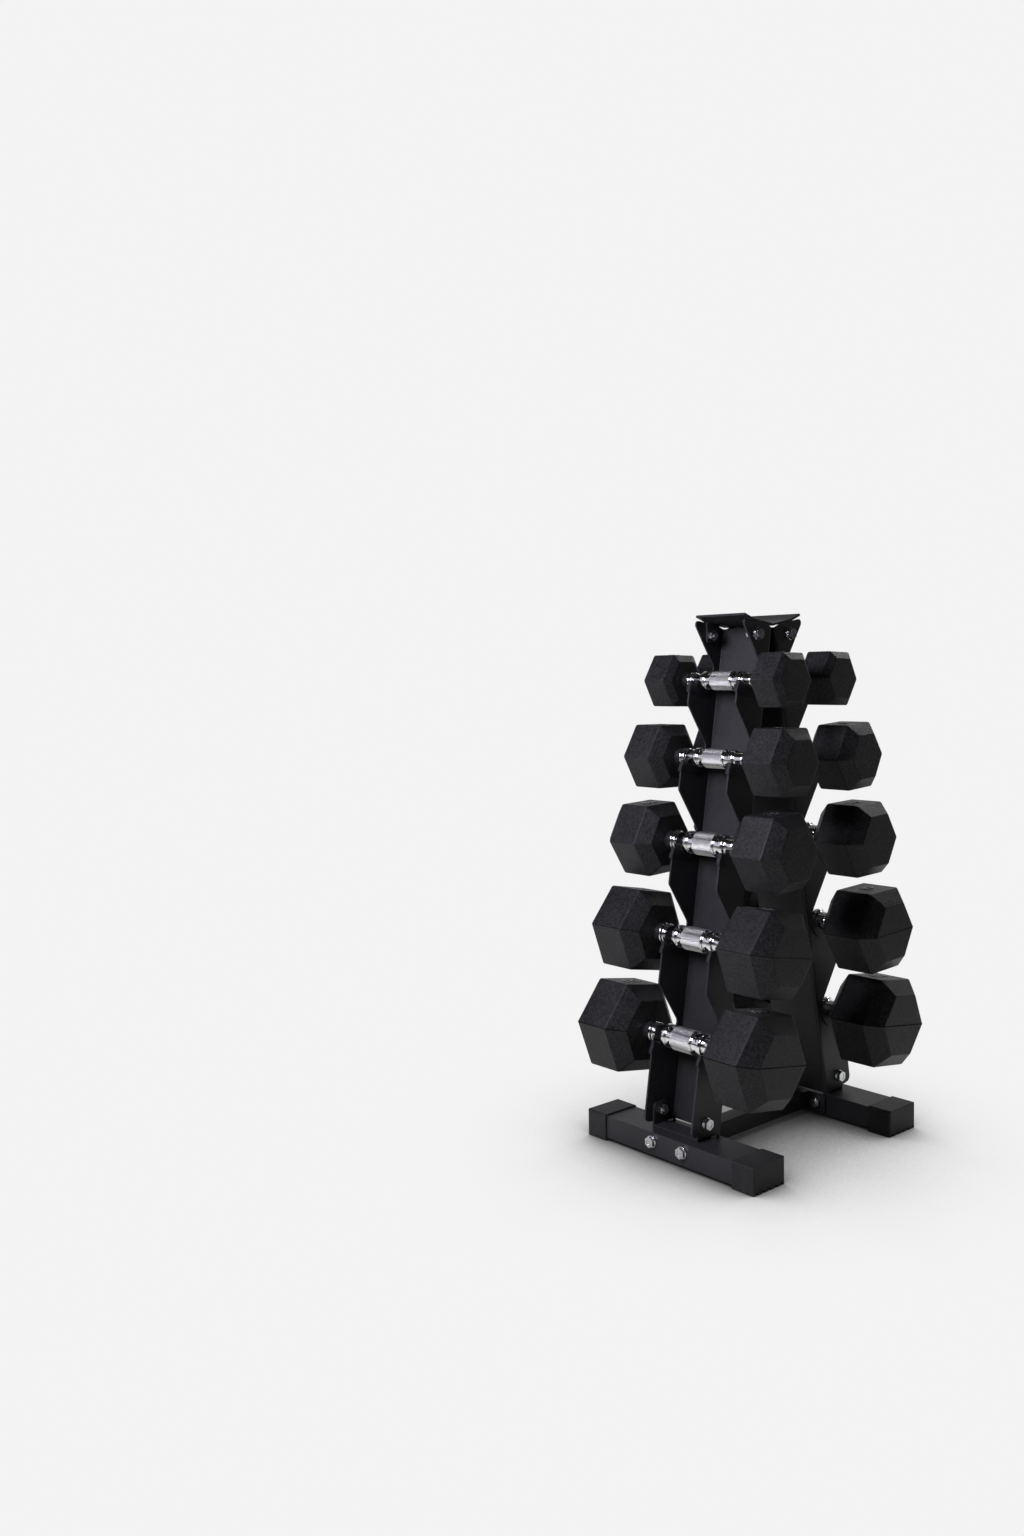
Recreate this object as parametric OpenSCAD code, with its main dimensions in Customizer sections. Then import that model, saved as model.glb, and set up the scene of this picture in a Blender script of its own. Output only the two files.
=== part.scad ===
// A-frame rack for five pairs of hexagonal dumbbells.
// X runs along the handles, Y from one side of the rack to the other, Z is up.
// The origin is on the floor, under the middle of the rack.

/* [Uprights] */
// Angle that each upright leans in from the vertical
lean = 9.6; // [7:0.1:10.5]
// Width of an upright over its two flanges
upright_w = 84; // [80:1:88]
// Depth of a flange, from the front of the web to its front edge
flange_d = 54.5; // [52:0.5:58]
// Thickness of the folded sheet
sheet_t = 2.5; // [2:0.1:3.5]
// Inside radius of the two folds
fold_r = 1.5; // [1:0.25:3]
// Straight front of a flange between its top belly and its top
top_run = 7.2; // [6.8:0.2:14]
// How far the web stops short of the flange tops
web_drop = 2.5; // [1.5:0.5:12]
// Length of the sloping run at the top of a flange, next to the web
top_slope = 11; // [8:1:16]
// Distance up the upright of the bottom cut
upright_bottom = 35; // [34.5:0.25:38]
// How far the web's bottom cut lies above the flange's
web_lift = 2.5; // [0:0.25:6]
// Gap between the two webs at their tops
web_gap = 3; // [2:0.5:8]
// Radius of the outer corner at the bottom of a flange
bottom_corner_r = 8; // [3:0.5:12]
// Radius of the outer corner at the top of a flange
top_corner_r = 4.4; // [2:0.2:4.6]

/* [Hooks] */
// Distance up the upright of the hook centres, from the top tier down
hook_s = [630.5, 525.5, 411, 285.5, 153.5];
// Distance of the hook centres from the front of the web
hook_u = 34; // [32:0.5:36]
// Radius of the rubber seat inside a hook
seat_r = 16; // [14.5:0.25:17]
// Angle of the ramp from each seat up to its tip, from the top tier down
ramp_angle = [32, 23, 14.5, 14.5, 11.5];
// Distance from a hook centre to the inner corner of the tip
tip_reach = 16; // [15:0.25:17]
// Height of the waist behind the handle, over the hook centre
waist_rise = 13.5; // [11:0.5:16]
// Distance from the web to the waist
waist_u = 9; // [7:0.5:12]
// Radius of the waist
waist_r = 8; // [3:0.5:9]
// Height over the hook centre at which the slanted edge meets the front
belly_rise = 63.8; // [60:0.2:64.5]
// Radius of that corner
belly_r = 6; // [2:0.5:6.5]
// Length of the slanted nose below a tip
nose_len = 10; // [6:0.5:12]
// Thickness of the rubber liner
liner_t = 2; // [1.2:0.1:2.5]
// Thickness of the liner's lips on the two faces of the flange
lip_t = 1.4; // [0.8:0.1:1.8]
// Radius of the lips round the hook centre
lip_r = 27; // [24:0.5:30]
// How far the liner wraps down the front from its tip
wrap_len = 16; // [14:0.5:22]

/* [Feet] */
// Length of a foot tube
foot_len = 282; // [260:1:320]
// Width of a foot tube
foot_w = 55; // [50:1:62]
// Height of a foot tube
foot_h = 30; // [27:0.5:34]
// Wall of a foot tube
foot_wall = 2; // [1.5:0.25:3]
// How far the middle of a foot lies outside its base bolts
foot_shift = 1.6; // [0:0.2:3]
// Length of an end cap
cap_len = 34.6; // [28:0.2:42]
// Wall of an end cap beside the tube
cap_side = 2.65; // [2:0.05:3.5]
// Wall of an end cap over the tube
cap_top = 2; // [1.5:0.25:3]
// Thickness of the pad under the tube
cap_pad = 4; // [3:0.25:6]
// Thickness of a cap's end wall
cap_end = 4; // [3:0.25:6]
// Number of anti-slip grooves across the lower edge of a cap's end
groove_n = 5; // [3:1:6]
// Width of a groove
groove_w = 4.4; // [2:0.2:5]
// Height of a groove, and how far it runs into the end wall
groove_h = 3; // [1:0.25:3]

/* [Cross beam] */
// Outer size of the square cross beam
beam_w = 24; // [20:0.5:26]
// Wall of the cross beam
beam_wall = 2; // [1.5:0.25:3]
// Width of the end plates
beam_plate_w = 80; // [74:1:90]
// Height of the end plates
beam_plate_h = 25.5; // [25:0.5:28]
// Thickness of the end plates
beam_plate_t = 4; // [3:0.5:6]
// Distance between the two bolts of a foot
foot_bolt_pitch = 53.2; // [48:0.2:58]

/* [Brackets] */
// Thickness of the base bracket and of the top bracket
bracket_t = 3; // [2:0.25:4]
// Width of a base bracket's ears
ear_w = 27; // [24:1:30]
// Height of a base bracket's ears over the foot tube
ear_h = 32; // [30:0.5:36]
// Distance of the base bolts from the web
base_bolt_u = 29.1; // [27:0.1:31]
// Height of that bolt over the foot tube
base_bolt_rise = 22; // [20:0.5:24]
// Distance along a flange top at which the top bracket's lip bends up
lip_start = 35; // [30:0.5:44]
// Angle of the lip over the rest of the plate
lip_bend = 11; // [0:1:16]
// Length of the lip
lip_len = 20.5; // [14:0.5:24]
// How far the top bracket stops short of the flange's outer face
top_inset = 0.5; // [0:0.25:2]
// Distance of the top bracket's front ear edge from the middle of the rack
top_ear_out = 40.5; // [38:0.5:42]
// Distance of the top bracket's inner ear edge from the middle of the rack
top_ear_in = 17; // [12:0.5:20]
// How far the top bracket's ears reach down from the flange tops
top_ear_drop = 21; // [19:0.5:25]
// Distance of the top bolts from the web
top_bolt_u = 27.5; // [26:0.25:29]
// How far the top bolts lie below the flange tops
top_bolt_drop = 16; // [14:0.25:17]

/* [Fasteners] */
// Shank of the bolts that hold the uprights
bolt_d = 7.8; // [6:0.1:8]
// Hole for those bolts
bolt_hole_d = 8.4; // [8.2:0.1:9.5]
// Width across flats of their heads and nuts
bolt_af = 13; // [12:0.5:14]
// Height of their heads
bolt_head_h = 5.3; // [4:0.1:6.5]
// Height of their nuts
nut_h = 6.5; // [5:0.1:8]
// Outer diameter of their washers
washer_d = 16.5; // [15:0.5:18]
// Thickness of all washers
washer_t = 1.6; // [1:0.1:2]
// Thread that shows past a nut
thread_out = 3.2; // [1:0.2:5]
// Shank of the foot bolts
foot_bolt_d = 7.8; // [6:0.1:8]
// Hole for the foot bolts
foot_hole_d = 8.5; // [8.2:0.1:9.5]
// Width across flats of the foot bolts and their nuts
foot_bolt_af = 13; // [12:0.5:14]
// Height of the foot bolts' heads
foot_head_h = 4.2; // [3.6:0.1:6]
// Height of the foot bolts' nuts
foot_nut_h = 6.5; // [5:0.1:8]
// Outer diameter of the foot bolts' washers
foot_washer_d = 16; // [15:0.5:18]

/* [Dumbbells] */
// Width across flats of the heads, from the top tier down
head_af = [69.5, 85.4, 95.5, 107.6, 117.2];
// Length of the full hexagon of the heads
head_mid = [34.6, 44.2, 45.3, 52.2, 51];
// Length of each chamfered end of the heads
head_taper = [7.1, 13, 16.6, 17, 18.8];
// Width across flats of the heads' end faces
face_af = [51, 56.8, 66.3, 72, 78.8];
// Turn of the near heads about their handles
near_roll = [-2, -1.2, 2, -10.5, -9.5];
// Turn of the far heads about their handles
far_roll = [2.5, -3.3, -1.6, -2, 8.5];
// Where the near dumbbells lie in their side play
near_shift = [2, 3, 3, 1, 0.5];
// Where the far dumbbells lie in their side play
far_shift = [-1, 3, 1, 3, -1];
// Distance from the middle of the handle to the heads' inner faces
head_x = 67; // [65:0.5:72]
// Thickness of the rubber over the cast-iron core
rubber_t = 6; // [4:0.5:8]
// Diameter of the knurled grips, from the top tier down
grip_d = [25, 26, 31, 31, 32];
// Diameter of the necks that rest in the hooks
neck_d = [17.4, 21, 24, 24, 24];
// Diameter of the collars outside the hooks
collar_d = [22, 24, 27, 28, 28];
// Half length of the knurled grip
grip_half = 18.3; // [16:0.1:20]
// Length of the groove beside the grip
groove_len = 8.7; // [6:0.1:9]
// Depth of that groove
groove_depth = 2.5; // [1:0.1:3]
// Side play of a handle each way between its shoulder rings and the liners
side_play = 3.3; // [3.2:0.1:4]
// Distance from the middle of the handle to the collar
collar_x = 49.5; // [49.2:0.1:51]
// Width of each of the collar's two rings
collar_ring = 3.6; // [2.5:0.1:4]
// Groove between those rings
collar_gap = 1.8; // [1:0.1:2]
// Length of the rubber boss at the root of a head
boss_len = 6; // [3:0.5:6.5]
// Clearance between a resting neck and its liner
rest_gap = 0.3; // [0.2:0.05:0.6]

/* [Hidden] */
$fn = 48;
eps = 0.01;
far_out = 200;
arc_n = 8;
tiers = len(hook_s);

coat = "#232327";
plastic = "#1b1b1d";
zinc = "#c9ccd1";
chrome = "#e4e6ea";
rubber = "#1d1d1f";
iron = "#4b4c50";

// Web plane: its front meets the floor this far from the middle of the rack.
upright_top = hook_s[0] + belly_rise + top_run;
web_y = web_gap / 2 + upright_top * sin(lean) + sheet_t * cos(lean);
flange_out = upright_w / 2;
flange_in = flange_out - sheet_t;
web_top = upright_top - web_drop;
foot_top = cap_pad + foot_h;
base_bolt_z = foot_top + base_bolt_rise;
base_bolt_y = -at_yz(base_bolt_u, (base_bolt_z - base_bolt_u * sin(lean)) / cos(lean))[0];
foot_y = base_bolt_y + foot_shift;
foot_in = foot_y - foot_w / 2;
foot_out = foot_y + foot_w / 2;
top_bolt_s = upright_top - top_bolt_drop;
cap_pocket = cap_len - cap_end;
rack_half = foot_len / 2 + cap_end;
foot_bolt_x = foot_bolt_pitch / 2;
beam_plate_z = foot_top - beam_plate_h;
beam_z = foot_top - beam_w / 2 - 0.5;
foot_bolt_z = beam_plate_z + beam_plate_h / 2;
shoulder_x = flange_in - lip_t - side_play;
neck_end = flange_out + lip_t + side_play;
ring_x = grip_half + groove_len;
steel_r = seat_r + liner_t;

// Place (x, outward, up) of an upright in the rack.
function at_yz(u, s) = [-web_y + s * sin(lean) - u * cos(lean), s * cos(lean) + u * sin(lean)];
function unit(v) = v / norm(v);
// Points of an arc.
function arc(c, r, a0, a1, n) =
    [for (i = [0:n]) [c[0] + r * cos(a0 + (a1 - a0) * i / n), c[1] + r * sin(a0 + (a1 - a0) * i / n)]];
// A corner p between a and b, rounded with radius r.
function round_corner(a, p, b, r, n = 6) =
    let (
        u = unit(a - p),
        v = unit(b - p),
        half = acos(u * v) / 2,
        c = p + unit(u + v) * r / sin(half),
        start = p + u * r / tan(half) - c,
        end = p + v * r / tan(half) - c,
        a0 = atan2(start[1], start[0]),
        turn = atan2(end[1], end[0]) - a0,
        sweep = turn > 180 ? turn - 360 : turn < -180 ? turn + 360 : turn
    )
    arc(c, r, a0, a0 + sweep, n);
// A closed outline with every corner rounded by its own radius; 0 leaves it sharp.
function round_all(p, r) =
    let (n = len(p))
    [for (i = [0:n - 1])
        for (q = r[i] > 0 ? round_corner(p[(i + n - 1) % n], p[i], p[(i + 1) % n], r[i]) : [p[i]]) q];

// Height of a liner's tip over its hook centre.
function tip_rise(i) =
    let (a = ramp_angle[i])
    -seat_r * cos(a) + (tip_reach - seat_r * sin(a)) * tan(a);
// Seat and ramp of hook i, from the tip to the back; t = 0 is the rubber, liner_t the steel.
function seat_edge(i, t) =
    let (
        a = ramp_angle[i],
        c = [hook_u, hook_s[i]],
        top = tip_rise(i) - t,
        foot = [(seat_r + t) * sin(a), -(seat_r + t) * cos(a)]
    )
    concat(
        [c + [foot[0] + (top - foot[1]) / tan(a), top]],
        arc(c, seat_r + t, 270 + a, 180, arc_n)
    );
// Front of the steel from under the tip of hook i up to the next belly.
function hook_edge(i) =
    let (
        c = [hook_u, hook_s[i]],
        seat = seat_edge(i, liner_t),
        back = c - [steel_r, 0],
        waist = [waist_u, c[1] + waist_rise],
        belly = [flange_d, c[1] + belly_rise],
        above = [flange_d, belly[1] + 20]
    )
    concat(
        [[flange_d, seat[0][1] - nose_len]],
        [seat[0] + [0.6, 0]],
        seat,
        round_corner(back, waist, belly, waist_r),
        round_corner(waist, belly, above, belly_r)
    );
// Side outline of an upright, from the bottom front corner anticlockwise.
upright_outline = concat(
    [[-sheet_t, upright_bottom]],
    round_corner([0, upright_bottom], [flange_d, upright_bottom], [flange_d, upright_bottom + 30], bottom_corner_r),
    [for (k = [1:tiers]) for (q = hook_edge(tiers - k)) q],
    round_corner([flange_d, upright_top - 20], [flange_d, upright_top], [top_slope, upright_top], top_corner_r),
    [[top_slope, upright_top], [0, web_top], [-sheet_t, web_top]]
);

// Stand children, drawn as (x, -outward, up), on the near side of the rack.
module near_side() {
    translate([0, -web_y, 0]) rotate([-lean, 0, 0]) children();
}
module far_side() {
    mirror([0, 1, 0]) near_side() children();
}
module both_sides() {
    near_side() children();
    far_side() children();
}
module mirror_y() {
    children();
    mirror([0, 1, 0]) children();
}
module mirror_x() {
    children();
    mirror([1, 0, 0]) children();
}
// Extrude an outline in (outward, up) along X from x0 to x1.
module across(x0, x1) {
    translate([x0, 0, 0]) rotate([90, 0, 90]) linear_extrude(x1 - x0) mirror([1, 0]) children();
}
module box(x0, x1, y0, y1, z0, z1) {
    translate([x0, y0, z0]) cube([x1 - x0, y1 - y0, z1 - z0]);
}
// Rod along X.
module rod_x(x0, x1, d) {
    translate([x0, 0, 0]) rotate([0, 90, 0]) cylinder(h = x1 - x0, d = d);
}
module hex_x(x0, x1, af) {
    translate([x0, 0, 0]) rotate([0, 90, 0]) cylinder(h = x1 - x0, d = af / cos(30), $fn = 6);
}

module upright() {
    out_r = fold_r + sheet_t;
    section = concat(
        [[-flange_out, flange_d], [-flange_in, flange_d]],
        round_corner([-flange_in, flange_d], [-flange_in, 0], [flange_in, 0], fold_r),
        round_corner([-flange_in, 0], [flange_in, 0], [flange_in, flange_d], fold_r),
        [[flange_in, flange_d], [flange_out, flange_d]],
        round_corner([flange_out, flange_d], [flange_out, -sheet_t], [-flange_out, -sheet_t], out_r),
        round_corner([flange_out, -sheet_t], [-flange_out, -sheet_t], [-flange_out, flange_d], out_r)
    );
    difference() {
        intersection() {
            linear_extrude(upright_top + 1) mirror([0, 1]) polygon(section);
            across(-flange_out, flange_out) polygon(upright_outline);
        }
        box(-flange_in + 2 * fold_r, flange_in - 2 * fold_r, -eps, sheet_t + eps, 0, upright_bottom + web_lift);
        translate([0, -top_bolt_u, top_bolt_s]) rod_x(-flange_out - 1, flange_out + 1, bolt_hole_d);
        rotate([lean, 0, 0]) translate([0, web_y - base_bolt_y, base_bolt_z])
            rod_x(-flange_out - 1, flange_out + 1, bolt_hole_d);
    }
}

// Rubber liner of hook i on the flange that lies between x0 and x1.
module saddle(i, x0, x1) {
    c = [hook_u, hook_s[i]];
    seat = seat_edge(i, 0);
    tip = seat[0];
    nose = flange_d + liner_t;
    difference() {
        across(x0 - lip_t, x1 + lip_t) difference() {
            union() {
                intersection() {
                    translate(c) circle(r = lip_r);
                    translate([0, c[1] - 2 * lip_r]) square([flange_d, 2 * lip_r]);
                }
                polygon([
                    [tip[0] - 2, tip[1]],
                    [tip[0] + 1.2, tip[1]],
                    [tip[0] + 2.2, tip[1] - 0.6],
                    [nose, tip[1] - nose_len],
                    [nose, tip[1] - wrap_len + 1],
                    [nose - 1, tip[1] - wrap_len],
                    [flange_d - 8, tip[1] - wrap_len],
                    [tip[0] - 6, tip[1] - 8]
                ]);
            }
            polygon(concat(
                [[flange_d + 10, tip[1]]],
                seat,
                [[hook_u - seat_r, c[1] + 5], [flange_d + 10, c[1] + 5]]
            ));
        }
        across(x0, x1) polygon(upright_outline);
    }
}
module saddles(side) {
    for (i = [0:tiers - 1])
        saddle(i, side > 0 ? flange_in : -flange_out, side > 0 ? flange_out : -flange_in);
}

module foot_tube() {
    difference() {
        box(-foot_len / 2, foot_len / 2, -foot_out, -foot_in, cap_pad, foot_top);
        box(-foot_len / 2 - 1, foot_len / 2 + 1, -foot_out + foot_wall, -foot_in - foot_wall,
            cap_pad + foot_wall, foot_top - foot_wall);
        for (x = [-foot_bolt_x, foot_bolt_x])
            translate([x, -foot_in + 1, foot_bolt_z]) rotate([90, 0, 0]) cylinder(h = foot_w + 2, d = foot_hole_d);
    }
}
// Cap on the +X end of the near foot.
module foot_cap() {
    x1 = foot_len / 2 + cap_end;
    x0 = x1 - cap_len;
    y0 = -foot_out - cap_side;
    y1 = -foot_in + cap_side;
    r = 3;
    color(plastic) difference() {
        intersection() {
            translate([x0, 0, 0]) rotate([90, 0, 90]) linear_extrude(cap_len)
                polygon(round_all([[y0, 0], [y1, 0], [y1, foot_top + cap_top], [y0, foot_top + cap_top]], [0, 0, r, r]));
            linear_extrude(foot_top + cap_top)
                polygon(round_all([[x0, y0], [x1, y0], [x1, y1], [x0, y1]], [0, r, r, 0]));
        }
        box(x0 - 1, foot_len / 2, -foot_out, -foot_in, cap_pad, foot_top);
        for (k = [0.5:groove_n]) {
            y = y0 + (y1 - y0) * k / groove_n;
            box(x1 - groove_h, x1 + 1, y - groove_w / 2, y + groove_w / 2, -1, groove_h);
        }
    }
}
module cross_beam() {
    half = foot_in - beam_plate_t;
    color(coat) difference() {
        box(-beam_w / 2, beam_w / 2, -half, half, beam_z - beam_w / 2, beam_z + beam_w / 2);
        box(-beam_w / 2 + beam_wall, beam_w / 2 - beam_wall, -half - 1, half + 1,
            beam_z - beam_w / 2 + beam_wall, beam_z + beam_w / 2 - beam_wall);
    }
}
module beam_plate() {
    color(coat) difference() {
        box(-beam_plate_w / 2, beam_plate_w / 2, -foot_in, -foot_in + beam_plate_t,
            beam_plate_z, beam_plate_z + beam_plate_h);
        for (x = [-foot_bolt_x, foot_bolt_x])
            translate([x, -foot_in + beam_plate_t + 1, foot_bolt_z]) rotate([90, 0, 0])
                cylinder(h = beam_plate_t + 2, d = foot_hole_d);
    }
}
module base_bracket() {
    y = -base_bolt_y;
    color(coat) difference() {
        union() {
            box(-flange_in, flange_in, y - ear_w / 2, y + ear_w / 2, foot_top, foot_top + bracket_t);
            mirror_x() intersection() {
                box(flange_in - bracket_t, flange_in, y - ear_w / 2, y + ear_w / 2, foot_top, foot_top + ear_h);
                translate([flange_in - bracket_t, 0, 0]) rotate([90, 0, 90]) linear_extrude(bracket_t)
                    polygon(round_all([
                        [y - ear_w / 2, foot_top], [y + ear_w / 2, foot_top],
                        [y + ear_w / 2, foot_top + ear_h], [y - ear_w / 2, foot_top + ear_h]
                    ], [0, 0, 7, 7]));
            }
        }
        translate([0, y, base_bolt_z]) rod_x(-flange_in - 1, flange_in + 1, bolt_hole_d);
    }
}
module top_bracket() {
    p0 = at_yz(0, upright_top);
    p1 = at_yz(lip_start, upright_top);
    rise = lean + lip_bend;
    p2 = p1 + lip_len * [-cos(rise), sin(rise)];
    n1 = [sin(lean), cos(lean)];
    n2 = [sin(rise), cos(rise)];
    mid = p1 + bracket_t * unit(n1 + n2) / cos(lip_bend / 2);
    z0 = p0[1] + p0[0] * tan(lean);
    half = flange_out - top_inset;
    bolt = at_yz(top_bolt_u, top_bolt_s);
    top_ear_z = at_yz(0, upright_top - top_ear_drop)[1];
    skin = [
        [0, z0], p1, p2, p2 + bracket_t * n2, mid, [0, z0 + bracket_t / cos(lean)]
    ];
    color(coat) difference() {
        union() {
            mirror_y() translate([-half, 0, 0]) rotate([90, 0, 90]) linear_extrude(2 * half) polygon(skin);
            mirror_y() mirror_x() translate([flange_in - bracket_t, 0, 0]) rotate([90, 0, 90])
                linear_extrude(bracket_t) polygon(concat(
                    round_corner([-top_ear_out, z0 + 20], [-top_ear_out, top_ear_z], [-top_ear_in, top_ear_z], 4),
                    round_corner([-top_ear_out, top_ear_z], [-top_ear_in, top_ear_z], [-top_ear_in, z0 + 20], 4),
                    [
                        [-top_ear_in, z0 + top_ear_in * tan(lean) + 1],
                        p1 + [0, 1],
                        [-top_ear_out, p1[1] + (top_ear_out + p1[0]) * tan(rise) + 1]
                    ]
                ));
        }
        mirror_y() translate([0, bolt[0], bolt[1]]) rod_x(-flange_in - 1, flange_in + 1, bolt_hole_d);
    }
}

// Bolts of the uprights: head outside the flange, nut inside the ear. Drawn along +X.
module upright_bolt() {
    rod_x(flange_in - bracket_t - nut_h - thread_out, flange_out + washer_t + bolt_head_h / 2, bolt_d);
    difference() {
        hex_x(flange_out + washer_t, flange_out + washer_t + bolt_head_h, bolt_af);
        translate([flange_out + washer_t + bolt_head_h - 0.5, 0, 0]) rod_x(0, 1, bolt_af * 0.62);
    }
}
module upright_nut() {
    x1 = flange_in - bracket_t;
    difference() {
        hex_x(x1 - nut_h, x1, bolt_af);
        rod_x(x1 - nut_h - 1, x1 + 1, bolt_d);
    }
}
module upright_washer() {
    difference() {
        rod_x(flange_out, flange_out + washer_t, washer_d);
        rod_x(flange_out - 1, flange_out + washer_t + 1, bolt_hole_d);
    }
}
module at_top_bolts() {
    bolt = at_yz(top_bolt_u, top_bolt_s);
    mirror_y() mirror_x() translate([0, bolt[0], bolt[1]]) children();
}
module at_base_bolts() {
    mirror_y() mirror_x() translate([0, -base_bolt_y, base_bolt_z]) children();
}
// Foot bolts run along Y: head and washer outside the foot, nut behind the end plate. Drawn along +X.
module foot_bolt() {
    rod_x(foot_in - beam_plate_t - foot_nut_h - thread_out, foot_out + washer_t + foot_head_h / 2, foot_bolt_d);
    difference() {
        hex_x(foot_out + washer_t, foot_out + washer_t + foot_head_h, foot_bolt_af);
        translate([foot_out + washer_t + foot_head_h - 0.5, 0, 0]) rod_x(0, 1, foot_bolt_af * 0.62);
    }
}
module foot_nut() {
    x1 = foot_in - beam_plate_t;
    difference() {
        hex_x(x1 - foot_nut_h, x1, foot_bolt_af);
        rod_x(x1 - foot_nut_h - 1, x1 + 1, foot_bolt_d);
    }
}
module foot_washer() {
    difference() {
        rod_x(foot_out, foot_out + washer_t, foot_washer_d);
        rod_x(foot_out - 1, foot_out + washer_t + 1, foot_hole_d);
    }
}
module at_foot_bolts() {
    mirror_y() for (x = [-foot_bolt_x, foot_bolt_x])
        translate([x, 0, foot_bolt_z]) rotate([0, 0, -90]) children();
}

// Dumbbell i in its own frame: handle along X, centre at the origin.
module on_hook(i, near) {
    p = at_yz(hook_u, hook_s[i] - seat_r + neck_d[i] / 2 + rest_gap);
    mirror([0, near ? 0 : 1, 0]) translate([near ? near_shift[i] : far_shift[i], p[0], p[1]]) children();
}
module handle(i) {
    grip = grip_d[i] / 2;
    low = grip - groove_depth;
    neck = neck_d[i] / 2;
    thin = neck - 2.5;
    ring_end = collar_x + 2 * collar_ring + collar_gap;
    end = head_x + 2 * head_taper[i] + head_mid[i] - 14;
    half = [
        [grip_half - 1.2, grip], [grip_half, grip - 1.2], [grip_half, low],
        [ring_x, low], [ring_x, grip - 0.8], [ring_x + 0.8, grip],
        [shoulder_x - 1.6, grip], [shoulder_x, grip - 1.6],
        [shoulder_x, neck], [neck_end, neck], [collar_x, thin],
        [collar_x, collar_d[i] / 2 - 1], [collar_x + 1, collar_d[i] / 2],
        [collar_x + collar_ring - 1, collar_d[i] / 2], [collar_x + collar_ring, collar_d[i] / 2 - 1],
        [collar_x + collar_ring, thin + 1], [collar_x + collar_ring + collar_gap, thin + 1],
        [collar_x + collar_ring + collar_gap, collar_d[i] / 2 - 1],
        [collar_x + collar_ring + collar_gap + 1, collar_d[i] / 2],
        [ring_end - 1, collar_d[i] / 2], [ring_end, collar_d[i] / 2 - 1],
        [ring_end, thin], [end, thin]
    ];
    n = len(half) - 1;
    color(chrome) rotate([0, 90, 0]) rotate_extrude() polygon(concat(
        [[0, -end], [0, end]],
        [for (k = [0:n]) [half[n - k][1], half[n - k][0]]],
        [for (k = [0:n]) [half[k][1], -half[k][0]]]
    ));
}
// Hexagonal block with tapered ends, from the inner face x0 outward, shrunk by t all round.
module hex_block(i, t) {
    x0 = head_x + t;
    x3 = head_x + 2 * head_taper[i] + head_mid[i] - t;
    full = head_af[i] / 2 - t;
    face = face_af[i] / 2 - t;
    wide = head_af[i];
    side = [
        [x0, -face], [head_x + head_taper[i], -full], [head_x + head_taper[i] + head_mid[i], -full], [x3, -face],
        [x3, face], [head_x + head_taper[i] + head_mid[i], full], [head_x + head_taper[i], full], [x0, face]
    ];
    intersection_for (k = [0:2])
        rotate([k * 60, 0, 0]) rotate([90, 0, 0]) translate([0, 0, -wide]) linear_extrude(2 * wide) polygon(side);
}
module core_block(i) {
    hex_block(i, rubber_t);
}
module heads(i, roll) {
    thin = neck_d[i] / 2 - 2.5;
    bore_start = collar_x + 2 * collar_ring + collar_gap;
    color(rubber) mirror_x() rotate([roll, 0, 0]) difference() {
        union() {
            hex_block(i, 0);
            rod_x(head_x - boss_len, head_x + 1, neck_d[i]);
        }
        core_block(i);
        rod_x(bore_start, head_x + rubber_t + 1, 2 * thin);
    }
}
module cores(i, roll) {
    thin = neck_d[i] / 2 - 2.5;
    color(iron) mirror_x() rotate([roll, 0, 0]) difference() {
        core_block(i);
        rod_x(head_x - 1, head_x + 2 * head_taper[i] + head_mid[i] - 14, 2 * thin);
    }
}

color(coat) foot_tube();  // foot_tube_near
color(coat) mirror([0, 1, 0]) foot_tube();  // foot_tube_far
mirror([1, 0, 0]) foot_cap();  // foot_cap_near_left
foot_cap();  // foot_cap_near_right
mirror([1, 0, 0]) mirror([0, 1, 0]) foot_cap();  // foot_cap_far_left
mirror([0, 1, 0]) foot_cap();  // foot_cap_far_right
cross_beam();
beam_plate();  // beam_plate_near
mirror([0, 1, 0]) beam_plate();  // beam_plate_far
base_bracket();  // base_bracket_near
mirror([0, 1, 0]) base_bracket();  // base_bracket_far
color(coat) near_side() upright();  // upright_near
color(coat) far_side() upright();  // upright_far
top_bracket();
color(plastic) near_side() saddles(-1);  // saddles_near_left
color(plastic) near_side() saddles(1);  // saddles_near_right
color(plastic) far_side() saddles(-1);  // saddles_far_left
color(plastic) far_side() saddles(1);  // saddles_far_right
color(zinc) at_top_bolts() upright_bolt();  // top_bolts
color(zinc) at_top_bolts() upright_nut();  // top_nuts
color(zinc) at_top_bolts() upright_washer();  // top_washers
color(zinc) at_base_bolts() upright_bolt();  // base_bolts
color(zinc) at_base_bolts() upright_nut();  // base_nuts
color(zinc) at_base_bolts() upright_washer();  // base_washers
color(zinc) at_foot_bolts() foot_bolt();  // foot_bolts
color(zinc) at_foot_bolts() foot_nut();  // foot_nuts
color(zinc) at_foot_bolts() foot_washer();  // foot_washers
on_hook(0, true) handle(0);  // handle_near_1
on_hook(0, true) heads(0, near_roll[0]);  // heads_near_1
on_hook(0, true) cores(0, near_roll[0]);  // cores_near_1
on_hook(1, true) handle(1);  // handle_near_2
on_hook(1, true) heads(1, near_roll[1]);  // heads_near_2
on_hook(1, true) cores(1, near_roll[1]);  // cores_near_2
on_hook(2, true) handle(2);  // handle_near_3
on_hook(2, true) heads(2, near_roll[2]);  // heads_near_3
on_hook(2, true) cores(2, near_roll[2]);  // cores_near_3
on_hook(3, true) handle(3);  // handle_near_4
on_hook(3, true) heads(3, near_roll[3]);  // heads_near_4
on_hook(3, true) cores(3, near_roll[3]);  // cores_near_4
on_hook(4, true) handle(4);  // handle_near_5
on_hook(4, true) heads(4, near_roll[4]);  // heads_near_5
on_hook(4, true) cores(4, near_roll[4]);  // cores_near_5
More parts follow.
